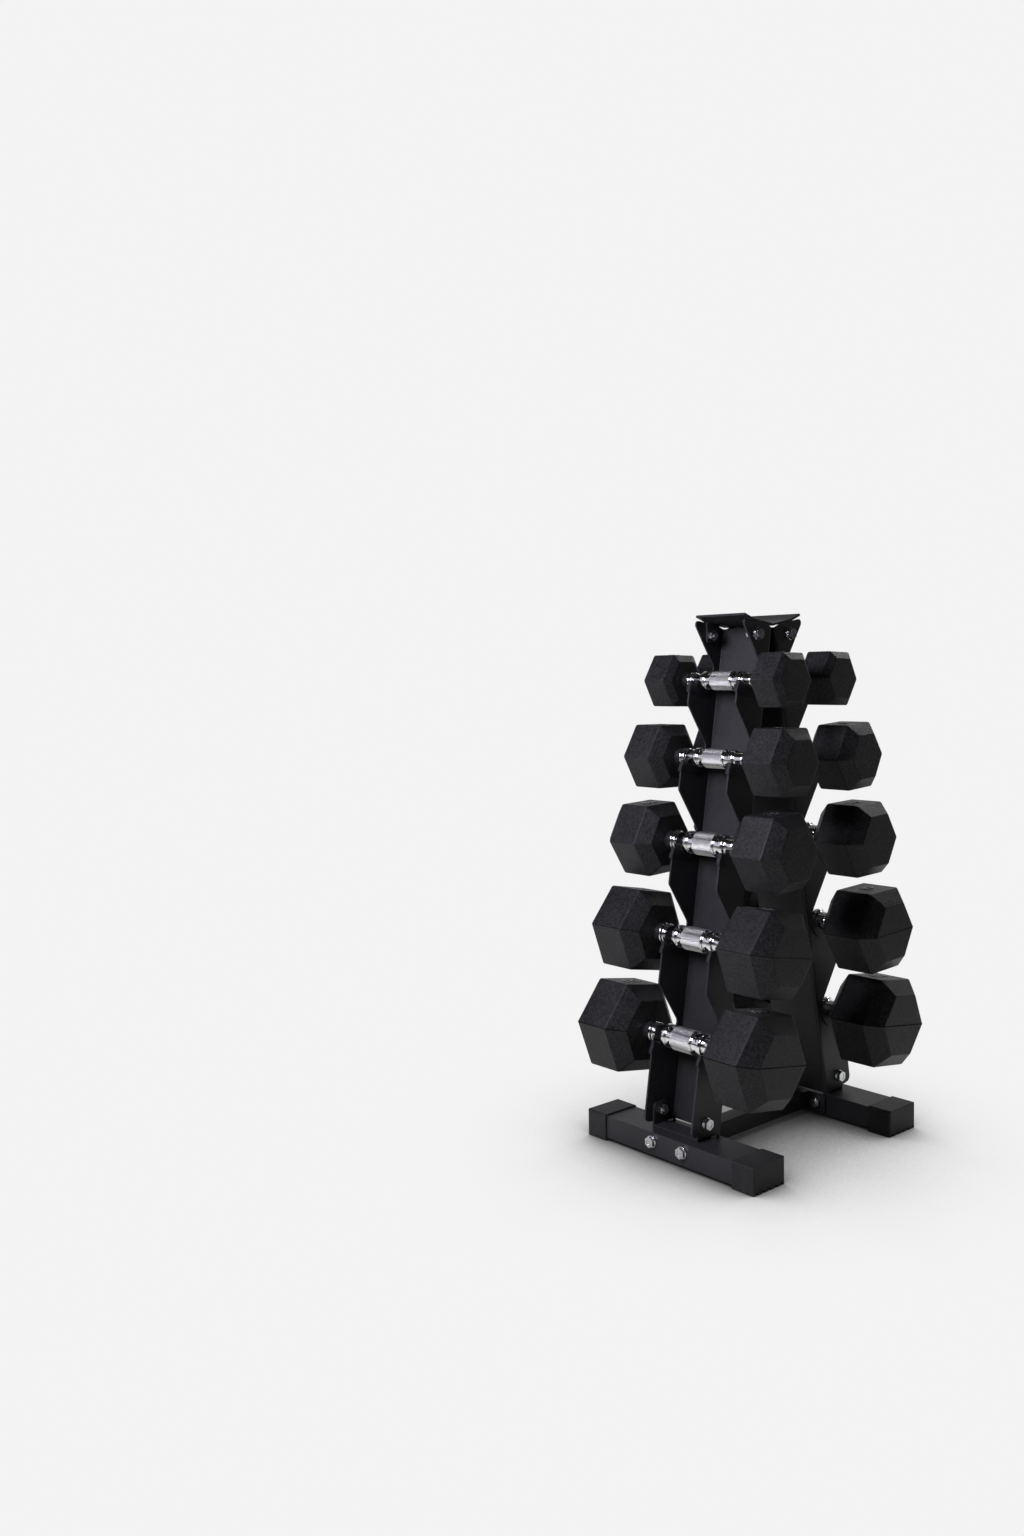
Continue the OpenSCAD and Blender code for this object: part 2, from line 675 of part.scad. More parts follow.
on_hook(0, false) handle(0);  // handle_far_1
on_hook(0, false) heads(0, far_roll[0]);  // heads_far_1
on_hook(0, false) cores(0, far_roll[0]);  // cores_far_1
on_hook(1, false) handle(1);  // handle_far_2
on_hook(1, false) heads(1, far_roll[1]);  // heads_far_2
on_hook(1, false) cores(1, far_roll[1]);  // cores_far_2
on_hook(2, false) handle(2);  // handle_far_3
on_hook(2, false) heads(2, far_roll[2]);  // heads_far_3
on_hook(2, false) cores(2, far_roll[2]);  // cores_far_3
on_hook(3, false) handle(3);  // handle_far_4
on_hook(3, false) heads(3, far_roll[3]);  // heads_far_4
on_hook(3, false) cores(3, far_roll[3]);  // cores_far_4
on_hook(4, false) handle(4);  // handle_far_5
on_hook(4, false) heads(4, far_roll[4]);  // heads_far_5
on_hook(4, false) cores(4, far_roll[4]);  // cores_far_5
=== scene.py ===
import math
import bmesh
import bpy
from mathutils import Matrix, Vector

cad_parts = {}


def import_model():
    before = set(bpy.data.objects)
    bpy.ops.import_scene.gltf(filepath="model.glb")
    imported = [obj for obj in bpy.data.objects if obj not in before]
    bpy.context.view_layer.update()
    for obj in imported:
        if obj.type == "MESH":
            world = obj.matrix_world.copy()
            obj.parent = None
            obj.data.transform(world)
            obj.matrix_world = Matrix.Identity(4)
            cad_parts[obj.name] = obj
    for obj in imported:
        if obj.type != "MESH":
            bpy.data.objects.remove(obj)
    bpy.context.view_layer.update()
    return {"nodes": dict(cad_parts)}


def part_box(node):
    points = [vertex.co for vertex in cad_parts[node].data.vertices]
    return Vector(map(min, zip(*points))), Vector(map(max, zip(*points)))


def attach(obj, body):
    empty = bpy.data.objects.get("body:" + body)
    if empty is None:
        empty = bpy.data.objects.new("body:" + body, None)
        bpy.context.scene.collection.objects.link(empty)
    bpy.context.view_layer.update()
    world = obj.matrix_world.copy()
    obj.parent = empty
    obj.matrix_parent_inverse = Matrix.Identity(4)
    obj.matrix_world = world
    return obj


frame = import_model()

NODES = frame["nodes"]
SIDES = ("near", "far")
TIERS = (1, 2, 3, 4, 5)

# How the edge mask of edges() is found, which lightens worn edges and on the rubber also paints an edge
# highlight: its rays, and how fast it rises towards an edge.
EDGE_SAMPLES = 4
EDGE_GAIN = 9.0


# ---------------------------------------------------------------- materials
class Mat:
    """A node material: short helpers around one Principled BSDF.

    Noise and cell scales are per metre; bump distances and edge radii are in metres.
    """

    def __init__(self, name):
        self.m = bpy.data.materials.new(name)
        self.m.use_nodes = True
        self.t = self.m.node_tree
        self.t.nodes.clear()
        self.out = self.node("ShaderNodeOutputMaterial")
        self.bsdf = self.node("ShaderNodeBsdfPrincipled")
        self.link(self.bsdf.outputs[0], self.out.inputs["Surface"])
        self.coord = self.node("ShaderNodeTexCoord").outputs["Object"]

    def node(self, kind, **props):
        n = self.t.nodes.new(kind)
        for k, v in props.items():
            setattr(n, k, v)
        return n

    def link(self, a, b):
        self.t.links.new(a, b)

    def set(self, **values):
        for k, v in values.items():
            self.bsdf.inputs[k.replace("_", " ")].default_value = v

    def math(self, op, a, b=None, clamp=False):
        n = self.node("ShaderNodeMath", operation=op, use_clamp=clamp)
        for i, v in enumerate((a, b)):
            if v is None:
                continue
            if isinstance(v, (int, float)):
                n.inputs[i].default_value = v
            else:
                self.link(v, n.inputs[i])
        return n.outputs[0]

    def noise(self, scale, detail=3.0, rough=0.55, stretch=None, distortion=0.0):
        n = self.node("ShaderNodeTexNoise")
        n.inputs["Scale"].default_value = scale
        n.inputs["Detail"].default_value = detail
        n.inputs["Roughness"].default_value = rough
        n.inputs["Distortion"].default_value = distortion
        src = self.coord
        if stretch:
            mp = self.node("ShaderNodeMapping")
            mp.inputs["Scale"].default_value = stretch
            self.link(src, mp.inputs["Vector"])
            src = mp.outputs[0]
        self.link(src, n.inputs["Vector"])
        return n.outputs["Fac"]

    def cells(self, scale):
        """Distance from the middle of the nearest small cell."""
        n = self.node("ShaderNodeTexVoronoi", feature="F1")
        n.inputs["Scale"].default_value = scale
        self.link(self.coord, n.inputs["Vector"])
        return n.outputs["Distance"]

    def ramp(self, fac, stops):
        n = self.node("ShaderNodeValToRGB")
        e = n.color_ramp.elements
        while len(e) < len(stops):
            e.new(0.5)
        for el, (p, c) in zip(e, stops):
            el.position = p
            el.color = (c, c, c, 1) if isinstance(c, (int, float)) else (*c, 1)
        self.link(fac, n.inputs[0])
        return n.outputs[0]

    def bump(self, height, strength, dist, chain=None):
        n = self.node("ShaderNodeBump")
        n.inputs["Strength"].default_value = strength
        n.inputs["Distance"].default_value = dist
        self.link(height, n.inputs["Height"])
        if chain is not None:
            self.link(chain, n.inputs["Normal"])
        return n.outputs[0]

    def edges(self, radius):
        """1 within about this distance of an edge, 0 on open surface."""
        geo = self.node("ShaderNodeNewGeometry")
        bevel = self.node("ShaderNodeBevel", samples=EDGE_SAMPLES)
        bevel.inputs["Radius"].default_value = radius
        dot = self.node("ShaderNodeVectorMath", operation="DOT_PRODUCT")
        self.link(bevel.outputs[0], dot.inputs[0])
        self.link(geo.outputs["Normal"], dot.inputs[1])
        lean = self.math("SUBTRACT", 1.0, dot.outputs["Value"])
        return self.math("MULTIPLY", lean, EDGE_GAIN, clamp=True)

    def scale(self, value, low, high):
        """Spread a 0..1 value over low..high."""
        return self.math("ADD", self.math("MULTIPLY", value, high - low), low)

    def tint(self, colour, gain):
        """A colour times a number."""
        n = self.node("ShaderNodeVectorMath", operation="SCALE")
        self.link(colour, n.inputs[0])
        self.link(gain, n.inputs["Scale"])
        return n.outputs["Vector"]


def coat_material():
    # Satin black powder coat: orange peel, faint mottling, edges rubbed a little lighter.
    m = Mat("powder_coat")
    broad = m.noise(9.0, detail=4.0)
    mottle = m.noise(330.0, detail=3.0, rough=0.6)
    fine = m.noise(900.0, detail=2.0)
    lighter_edges = m.math("MULTIPLY", m.edges(0.0011), m.scale(m.noise(60.0, detail=3.0), 0.1, 1.3))
    base = m.ramp(broad, [(0.3, (0.0205, 0.0203, 0.0217)), (0.7, (0.0285, 0.0283, 0.03))])
    gain = m.math("ADD", m.scale(mottle, 0.6, 1.4), m.math("MULTIPLY", lighter_edges, 0.8))
    m.link(m.tint(base, gain), m.bsdf.inputs["Base Color"])
    rough = m.math("ADD", m.math("MULTIPLY", broad, 0.12), m.math("MULTIPLY", mottle, 0.1))
    m.link(m.math("ADD", rough, 0.3), m.bsdf.inputs["Roughness"])
    peel = m.bump(m.noise(420.0, detail=2.0), 0.22, 0.0003)
    m.link(m.bump(fine, 0.25, 0.0001, peel), m.bsdf.inputs["Normal"])
    m.set(Specular_IOR_Level=0.24)
    return m.m


def rubber_material():
    # Moulded rubber with a dry, mottled grain, dusty lighter patches, and edges lighter partly from rubbing
    # and partly as a painted highlight.
    m = Mat("head_rubber")
    broad = m.noise(14.0, detail=5.0, rough=0.6)
    patch = m.noise(70.0, detail=4.0, rough=0.65, distortion=0.4)
    mottle = m.noise(340.0, detail=3.0, rough=0.7, distortion=0.4)
    tone = m.math("ADD", m.math("MULTIPLY", broad, 0.55), m.math("MULTIPLY", patch, 0.45))
    # On the rubber the lighter edges are partly wear and partly a painted highlight along the facet edges.
    lighter_edges = m.math("MULTIPLY", m.edges(0.0012), m.scale(patch, 0.2, 1.2))
    base = m.ramp(tone, [(0.34, (0.0125, 0.0125, 0.0128)), (0.68, (0.022, 0.022, 0.0223))])
    fleck = m.ramp(mottle, [(0.4, 0.0), (0.64, 1.0)])
    gain = m.math("ADD", m.scale(fleck, 0.58, 1.55), m.math("MULTIPLY", lighter_edges, 1.9))
    m.link(m.tint(base, gain), m.bsdf.inputs["Base Color"])
    rough = m.math("ADD", m.math("MULTIPLY", tone, 0.16), m.math("MULTIPLY", fleck, 0.12))
    m.link(m.math("ADD", rough, 0.3), m.bsdf.inputs["Roughness"])
    grain = m.bump(m.cells(1500.0), 0.32, 0.00025)
    soft = m.bump(fleck, 0.4, 0.0004, grain)
    m.link(m.bump(m.noise(38.0, detail=2.0), 0.12, 0.0012, soft), m.bsdf.inputs["Normal"])
    m.set(Specular_IOR_Level=0.17)
    return m.m


def seam_material():
    # The mould line is rougher than the rubber beside it, and darker as painted shade for the shadow line
    # along the bead.
    m = Mat("mould_line")
    painted_shadow_line = m.ramp(m.noise(120.0, detail=4.0), [(0.35, (0.003, 0.003, 0.003)), (0.65, (0.009, 0.009, 0.009))])
    m.link(painted_shadow_line, m.bsdf.inputs["Base Color"])
    m.link(m.bump(m.noise(900.0, detail=3.0), 0.5, 0.0003), m.bsdf.inputs["Normal"])
    m.set(Specular_IOR_Level=0.05, Roughness=0.8)
    return m.m


def mark_material():
    # Raised numerals are rubbed smooth, so they catch the light; their lighter base colour is partly rubbed
    # wear and partly a painted glint.
    m = Mat("numerals_rubbed_and_painted_glint")
    rubbed_and_painted_glint = m.ramp(m.noise(160.0, detail=3.0), [(0.35, (0.03, 0.03, 0.03)), (0.7, (0.09, 0.09, 0.09))])
    m.link(rubbed_and_painted_glint, m.bsdf.inputs["Base Color"])
    m.set(Specular_IOR_Level=0.5, Roughness=0.24)
    return m.m


def plastic_material():
    # Moulded end caps: spark-eroded texture, scuffed by shoes and by the floor.
    m = Mat("cap_plastic")
    broad = m.noise(22.0, detail=3.0)
    streaks = m.noise(130.0, detail=5.0, rough=0.75, stretch=(1.0, 1.0, 0.35))
    scuff = m.ramp(streaks, [(0.56, 0.0), (0.74, 1.0)])
    lighter_edges = m.math("MULTIPLY", m.edges(0.0014), m.scale(m.noise(90.0, detail=4.0), 0.0, 1.6))
    base = m.ramp(broad, [(0.3, (0.0155, 0.0155, 0.0162)), (0.7, (0.0225, 0.0225, 0.0234))])
    gain = m.math("ADD", m.scale(scuff, 0.95, 1.7), m.math("MULTIPLY", lighter_edges, 1.1))
    m.link(m.tint(base, gain), m.bsdf.inputs["Base Color"])
    m.link(m.math("ADD", m.math("MULTIPLY", broad, 0.12), 0.44), m.bsdf.inputs["Roughness"])
    m.link(m.bump(m.cells(1100.0), 0.3, 0.0002), m.bsdf.inputs["Normal"])
    m.set(Specular_IOR_Level=0.2)
    return m.m


def liner_material():
    m = Mat("liner_rubber")
    broad = m.noise(60.0, detail=3.0)
    m.link(m.ramp(broad, [(0.3, (0.012, 0.012, 0.014)), (0.7, (0.02, 0.02, 0.023))]),
           m.bsdf.inputs["Base Color"])
    m.link(m.math("ADD", m.math("MULTIPLY", broad, 0.15), 0.3), m.bsdf.inputs["Roughness"])
    m.link(m.bump(m.noise(700.0, detail=2.0), 0.15, 0.0002), m.bsdf.inputs["Normal"])
    m.set(Specular_IOR_Level=0.3)
    return m.m


def zinc_material():
    # Bright zinc plate: faint rolling marks and cloudy roughness.
    m = Mat("zinc_plate")
    cloud = m.noise(160.0, detail=4.0, rough=0.6)
    tone = m.ramp(cloud, [(0.3, (0.46, 0.47, 0.475)), (0.7, (0.66, 0.67, 0.68))])
    m.link(tone, m.bsdf.inputs["Base Color"])
    m.link(m.math("ADD", m.math("MULTIPLY", cloud, 0.2), 0.13), m.bsdf.inputs["Roughness"])
    m.link(m.bump(m.noise(1400.0, detail=2.0), 0.12, 0.0001), m.bsdf.inputs["Normal"])
    m.set(Metallic=1.0)
    return m.m


def chrome_material():
    # Turned and chromed steel: hairline turning marks round the axis.
    m = Mat("chrome")
    lines = m.noise(2600.0, detail=1.0, rough=0.5, stretch=(1.0, 0.004, 0.004))
    cloud = m.noise(120.0, detail=3.0)
    tone = m.ramp(cloud, [(0.3, (0.66, 0.67, 0.665)), (0.7, (0.81, 0.82, 0.815))])
    m.link(tone, m.bsdf.inputs["Base Color"])
    m.link(m.math("ADD", m.math("MULTIPLY", cloud, 0.09), 0.06), m.bsdf.inputs["Roughness"])
    m.link(m.bump(lines, 0.05, 0.0001), m.bsdf.inputs["Normal"])
    m.set(Metallic=1.0)
    return m.m


def grip_material():
    # Knurled chrome: the fine points scatter the light, so it reads greyer than the rings; its darker base
    # colour is painted shade for that scatter and for the shade between the points.
    m = Mat("grip")
    cloud = m.noise(150.0, detail=3.0)
    tone = m.ramp(cloud, [(0.3, (0.35, 0.352, 0.335)), (0.7, (0.49, 0.493, 0.47))])
    m.link(tone, m.bsdf.inputs["Base Color"])
    m.link(m.math("ADD", m.math("MULTIPLY", cloud, 0.12), 0.42), m.bsdf.inputs["Roughness"])
    m.set(Metallic=1.0)
    return m.m


def iron_material():
    m = Mat("cast_iron")
    n = m.noise(90.0, detail=5.0)
    m.link(m.ramp(n, [(0.3, (0.09, 0.09, 0.1)), (0.7, (0.17, 0.17, 0.18))]), m.bsdf.inputs["Base Color"])
    m.link(m.bump(n, 0.4, 0.001), m.bsdf.inputs["Normal"])
    m.set(Metallic=0.9, Roughness=0.6)
    return m.m


COAT, RUBBER = coat_material(), rubber_material()
SEAM, MARK = seam_material(), mark_material()
PLASTIC, LINER = plastic_material(), liner_material()
ZINC, CHROME, GRIP, IRON = zinc_material(), chrome_material(), grip_material(), iron_material()


def material_for(name):
    if name.startswith("handle"):
        return CHROME
    if name.startswith("heads"):
        return RUBBER
    if name.startswith("cores"):
        return IRON
    if name.startswith("foot_cap"):
        return PLASTIC
    if name.startswith("saddles"):
        return LINER
    if name.split("_")[-1] in ("bolts", "nuts", "washers"):
        return ZINC
    return COAT


# Edge radius of each kind of CAD piece, in metres.
EDGES = {
    "heads": 0.0014, "foot_cap": 0.0009, "upright": 0.0005, "top_bracket": 0.0007, "base_bracket": 0.0006,
    "foot_tube": 0.0012, "cross_beam": 0.001, "beam_plate": 0.0006, "saddles": 0.0005,
    "top_bolts": 0.0005, "base_bolts": 0.0005, "foot_bolts": 0.0006,
    "top_nuts": 0.0005, "base_nuts": 0.0005, "foot_nuts": 0.0006,
}


WELD_REACH = 0.00002
BEVEL_SEGMENTS = 3
SHARP_ANGLE = math.radians(25)
FLAT_ANGLE = math.radians(0.5)


def soften(obj, width, flatten):
    """Join a CAD mesh's doubled corners, round its sharp edges and smooth its shading."""
    w = obj.modifiers.new("weld", "WELD")
    w.merge_threshold = WELD_REACH
    if flatten:
        # Without the triangles between its holes a flat side bevels evenly.
        d = obj.modifiers.new("flatten", "DECIMATE")
        d.decimate_type = "DISSOLVE"
        d.angle_limit = FLAT_ANGLE
    if width:
        b = obj.modifiers.new("edge", "BEVEL")
        b.width = width
        b.segments = BEVEL_SEGMENTS
        b.limit_method = "ANGLE"
        b.angle_limit = SHARP_ANGLE
        b.use_clamp_overlap = True
        b.miter_outer = "MITER_ARC"
    n = obj.modifiers.new("normals", "WEIGHTED_NORMAL")
    n.mode = "FACE_AREA"
    n.weight = 100
    n.keep_sharp = False


for name, obj in NODES.items():
    obj.data.materials.clear()
    obj.data.materials.append(material_for(name))
    for p in obj.data.polygons:
        p.material_index = 0
    width = next((v for k, v in EDGES.items() if name.startswith(k)), 0)
    soften(obj, width, name.startswith("foot_tube"))


def new_object(name, bm, material, body, smooth=True):
    """A piece of the scene's own, which rides on a body and goes by a material slot."""
    me = bpy.data.meshes.new(name)
    bm.to_mesh(me)
    bm.free()
    me.materials.append(material)
    ob = bpy.data.objects.new(name, me)
    bpy.context.scene.collection.objects.link(ob)
    for p in me.polygons:
        p.use_smooth = smooth
    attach(ob, body)
    return ob


# ---------------------------------------------------------------- knurled grips
def handle_axis(side, tier):
    """Middle in X, axis in Y and Z, and radius of a handle."""
    lo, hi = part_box(f"handle_{side}_{tier}")
    return (lo[0] + hi[0]) / 2, (lo[1] + hi[1]) / 2, (lo[2] + hi[2]) / 2, (hi[2] - lo[2]) / 2


KNURL_HALF = 0.017
KNURL_PITCH = 0.0016
KNURL_DEPTH = 0.00042
KNURL_SINK = 0.00012
STEPS_PER_POINT = 4
# The points die away over this share of one pitch at each end.
KNURL_FADE = 0.8


def knurl(side, tier):
    """A diamond-knurled sleeve over the middle of a handle."""
    mid, y, z, r = handle_axis(side, tier)
    half = KNURL_HALF
    per = STEPS_PER_POINT
    cols = int(round(2 * math.pi * r / KNURL_PITCH)) * per
    rows = int(round(2 * half / KNURL_PITCH)) * per
    bm = bmesh.new()
    ring = []
    for j in range(rows + 1):
        x = mid - half + 2 * half * j / rows
        fade = min(1.0, min(j, rows - j) / (per * KNURL_FADE))
        line = []
        for i in range(cols):
            u = i / per + j / per
            v = i / per - j / per
            a = abs((u % 1.0) - 0.5) * 2
            b = abs((v % 1.0) - 0.5) * 2
            h = KNURL_DEPTH * (1 - max(a, b)) * fade
            rr = r - KNURL_SINK + h
            t = 2 * math.pi * i / cols
            line.append(bm.verts.new((x, y + rr * math.cos(t), z + rr * math.sin(t))))
        ring.append(line)
    for j in range(rows):
        for i in range(cols):
            k = (i + 1) % cols
            bm.faces.new((ring[j][i], ring[j][k], ring[j + 1][k], ring[j + 1][i]))
    bmesh.ops.recalc_face_normals(bm, faces=bm.faces)
    new_object(f"knurl_{side}_{tier}", bm, GRIP, f"dumbbell_{side}_{tier}", False)


for side in SIDES:
    for tier in TIERS:
        knurl(side, tier)


# ---------------------------------------------------------------- marks on the heads
# A side counts as flat when its normal leans this little towards X, and as a top when it points this far up.
FLAT_LEAN = 0.02
TOP_LEAST = 0.8
# The mould line stops this near to the bar (times its radius), except within END_BAND of the outer end.
BAR_CLEAR = 1.05
END_BAND = 0.003
WEIGHTS = {1: "2.5", 2: "5", 3: "7.5", 4: "10", 5: "12.5"}
# Numerals: their height as a share of the flat's length, how far they stand out, and their round edge.
MARK_SHARE = 0.27
MARK_RAISE = 0.0006
MARK_EDGE = 0.0002
# A capital's height over the size of its font.
CAP_HEIGHT = 0.7
# Radius of the mould line, for the heads that show one.
SEAM_RADIUS = {4: 0.0004, 5: 0.0006}


def flats(mesh, right):
    """Area, centre, normal and reach in X of each flat side of one head."""
    found = {}
    for p in mesh.polygons:
        if (p.center.x > 0) != right or abs(p.normal.x) > FLAT_LEAN:
            continue
        key = tuple(round(v, 2) for v in p.normal) + (round(p.normal.dot(p.center), 3),)
        row = found.setdefault(key, [0.0, Vector(), p.normal.copy(), []])
        row[0] += p.area
        row[1] += p.center * p.area
        row[3] += [mesh.vertices[i].co.x for i in p.vertices]
    return [(a, c / a, n, min(xs), max(xs)) for a, c, n, xs in found.values()]


def top_flat(mesh, right):
    """The largest flat side of one head that faces upwards."""
    up = [f for f in flats(mesh, right) if f[2].z > TOP_LEAST]
    return max(up, key=lambda f: f[0])


def mark(side, tier, right):
    """The weight in plain raised numerals on a head's top flat, read from its outer end."""
    _, centre, normal, x0, x1 = top_flat(NODES[f"heads_{side}_{tier}"].data, right)
    height = MARK_SHARE * (x1 - x0)
    curve = bpy.data.curves.new("mark", "FONT")
    curve.body = WEIGHTS[tier]
    curve.size = height / CAP_HEIGHT
    curve.align_x = "CENTER"
    curve.align_y = "CENTER"
    curve.extrude = MARK_RAISE
    curve.bevel_depth = MARK_EDGE
    curve.resolution_u = 4
    text = bpy.data.objects.new("mark", curve)
    bm = bmesh.new()
    bm.from_mesh(text.to_mesh())
    text.to_mesh_clear()
    bpy.data.objects.remove(text)
    along = Vector((0, 1 if right else -1, 0))
    along = (along - normal * along.dot(normal)).normalized()
    turn = Matrix((along, normal.cross(along), normal)).transposed().to_4x4()
    turn.translation = Vector(((x0 + x1) / 2, centre.y, centre.z))
    bm.transform(turn)
    end = "right" if right else "left"
    body = f"dumbbell_{side}_{tier}"
    new_object(f"mark_{side}_{tier}_{end}", bm, MARK, body, False)


def seam(side, tier, right):
    """The fine bead that the mould leaves on a head, in the plane through two corners."""
    node = NODES[f"heads_{side}_{tier}"]
    _, y, z, r = handle_axis(side, tier)
    normal = top_flat(node.data, right)[2]
    shaped = node.evaluated_get(bpy.context.evaluated_depsgraph_get())
    bm = bmesh.new()
    bm.from_mesh(shaped.to_mesh())
    shaped.to_mesh_clear()
    axis = Vector((0, y, z))
    whole = bm.verts[:] + bm.edges[:] + bm.faces[:]
    cut = bmesh.ops.bisect_plane(bm, geom=whole, plane_co=axis, plane_no=normal)
    verts = [g for g in cut["geom_cut"] if isinstance(g, bmesh.types.BMVert)]
    verts = [v for v in verts if (v.co.x > 0) == right]
    outer = max(abs(v.co.x) for v in verts) - END_BAND

    def outside(v):
        return math.hypot(v.co.y - y, v.co.z - z) > BAR_CLEAR * r or abs(v.co.x) > outer

    curve = bpy.data.curves.new("seam", "CURVE")
    curve.dimensions = "3D"
    curve.bevel_depth = SEAM_RADIUS[tier]
    curve.bevel_resolution = 1
    for e in (g for g in cut["geom_cut"] if isinstance(g, bmesh.types.BMEdge)):
        a, b = e.verts
        if (a.co.x > 0) != right or not (outside(a) and outside(b)):
            continue
        line = curve.splines.new("POLY")
        line.points.add(1)
        for point, v in zip(line.points, (a, b)):
            point.co = (*v.co, 1)
    bm.free()
    wire = bpy.data.objects.new("seam", curve)
    bm = bmesh.new()
    bm.from_mesh(wire.to_mesh())
    wire.to_mesh_clear()
    bpy.data.objects.remove(wire)
    end = "right" if right else "left"
    new_object(f"seam_{side}_{tier}_{end}", bm, SEAM, f"dumbbell_{side}_{tier}")


for side in SIDES:
    for tier in TIERS:
        for right in (False, True):
            mark(side, tier, right)
            if tier in SEAM_RADIUS:
                seam(side, tier, right)

# ---------------------------------------------------------------- floor, lights, camera
# Level of the pale backdrop.
BACK = 0.896
FLOOR_HALF = 14.0
FLOOR_Z = -0.0003
# Floor level by how open a point is to the sky, within SHADE_REACH metres.
SHADE = [
    (0.05, 0.025), (0.2, 0.075), (0.34, 0.15), (0.46, 0.25),
    (0.58, 0.46), (0.71, 0.7), (0.84, 0.86), (0.93, BACK),
]
SHADE_REACH = 0.45
SHADE_SAMPLES = 16
# The shadow is a shade less green than the open floor.
SHADE_GREEN = 0.985
FULL_LIGHT = 0.8
# A closer, darker shadow where something touches the floor.
TOUCH_REACH = 0.09
TOUCH_POWER = 0.8
# Reflections see the floor bright up to POOL_NEAR metres from here, and dim from POOL_FAR.
POOL_MIDDLE = (-0.25, 0.15, 0)
POOL_NEAR = 0.5
POOL_FAR = 1.7
POOL_REST = 0.12
# Reflections see the backdrop in this direction, brightest near the horizon.
SWEEP_WAY = (-0.56, 0.80, 0.2)
SWEEP_EDGE = 0.4
SWEEP_FULL = 0.9
SWEEP_LOW = 0.06
SWEEP_HIGH = 0.36
SWEEP_TOP = 0.22
ROOM = (0.93, 0.95, 1.0, 1)
ROOM_LEVEL = 0.015


def seen_rays(t, path, sweep=None):
    """1 for the rays that see the pale background: camera, glossy and transmission."""
    n = t.nodes.new("ShaderNodeMath")
    n.operation = "MAXIMUM"
    t.links.new(path.outputs["Is Glossy Ray"], n.inputs[0])
    t.links.new(path.outputs["Is Transmission Ray"], n.inputs[1])
    out = n.outputs[0]
    if sweep is not None:
        k = t.nodes.new("ShaderNodeMath")
        k.operation = "MULTIPLY"
        t.links.new(out, k.inputs[0])
        t.links.new(sweep, k.inputs[1])
        out = k.outputs[0]
    m = t.nodes.new("ShaderNodeMath")
    m.operation = "MAXIMUM"
    t.links.new(out, m.inputs[0])
    t.links.new(path.outputs["Is Camera Ray"], m.inputs[1])
    return m.outputs[0]


def floor():
    """A pale floor that fades into the backdrop and keeps the object's soft shadow."""
    me = bpy.data.meshes.new("floor")
    s, z = FLOOR_HALF, FLOOR_Z
    me.from_pydata([(-s, -s, z), (s, -s, z), (s, s, z), (-s, s, z)], [], [(0, 1, 2, 3)])
    ob = bpy.data.objects.new("floor", me)
    bpy.context.scene.collection.objects.link(ob)
    m = bpy.data.materials.new("floor")
    m.use_nodes = True
    t = m.node_tree
    t.nodes.clear()
    out = t.nodes.new("ShaderNodeOutputMaterial")
    mix = t.nodes.new("ShaderNodeMixShader")
    path = t.nodes.new("ShaderNodeLightPath")
    diff = t.nodes.new("ShaderNodeBsdfDiffuse")
    diff.inputs[0].default_value = (0.82, 0.8, 0.74, 1)
    glow = t.nodes.new("ShaderNodeEmission")
    ao = t.nodes.new("ShaderNodeAmbientOcclusion")
    ao.samples = SHADE_SAMPLES
    ao.inputs["Distance"].default_value = SHADE_REACH
    ramp = t.nodes.new("ShaderNodeValToRGB")
    stops = ramp.color_ramp.elements
    while len(stops) < len(SHADE):
        stops.new(0.5)
    for stop, (place, level) in zip(stops, SHADE):
        stop.position = place
        green = SHADE_GREEN * level if level < FULL_LIGHT else level
        stop.color = (level, green, level, 1)
    t.links.new(ao.outputs["AO"], ramp.inputs[0])
    touch = t.nodes.new("ShaderNodeAmbientOcclusion")
    touch.samples = SHADE_SAMPLES
    touch.inputs["Distance"].default_value = TOUCH_REACH
    deep = t.nodes.new("ShaderNodeMath")
    deep.operation = "POWER"
    deep.inputs[1].default_value = TOUCH_POWER
    t.links.new(touch.outputs["AO"], deep.inputs[0])
    shade_all = t.nodes.new("ShaderNodeVectorMath")
    shade_all.operation = "SCALE"
    t.links.new(ramp.outputs[0], shade_all.inputs[0])
    t.links.new(deep.outputs[0], shade_all.inputs["Scale"])
    t.links.new(shade_all.outputs["Vector"], glow.inputs[0])
    # The floor shines only near the object; further out it lies in the dark of the room.
    where = t.nodes.new("ShaderNodeTexCoord").outputs["Object"]
    reach = t.nodes.new("ShaderNodeVectorMath")
    reach.operation = "DISTANCE"
    reach.inputs[1].default_value = POOL_MIDDLE
    t.links.new(where, reach.inputs[0])
    pool = t.nodes.new("ShaderNodeMapRange")
    pool.interpolation_type = "SMOOTHSTEP"
    pool.inputs["From Min"].default_value = POOL_NEAR
    pool.inputs["From Max"].default_value = POOL_FAR
    pool.inputs["To Min"].default_value = 1.0
    pool.inputs["To Max"].default_value = POOL_REST
    t.links.new(reach.outputs["Value"], pool.inputs["Value"])
    t.links.new(seen_rays(t, path, pool.outputs["Result"]), mix.inputs[0])
    t.links.new(diff.outputs[0], mix.inputs[1])
    t.links.new(glow.outputs[0], mix.inputs[2])
    t.links.new(mix.outputs[0], out.inputs["Surface"])
    me.materials.append(m)
    return ob


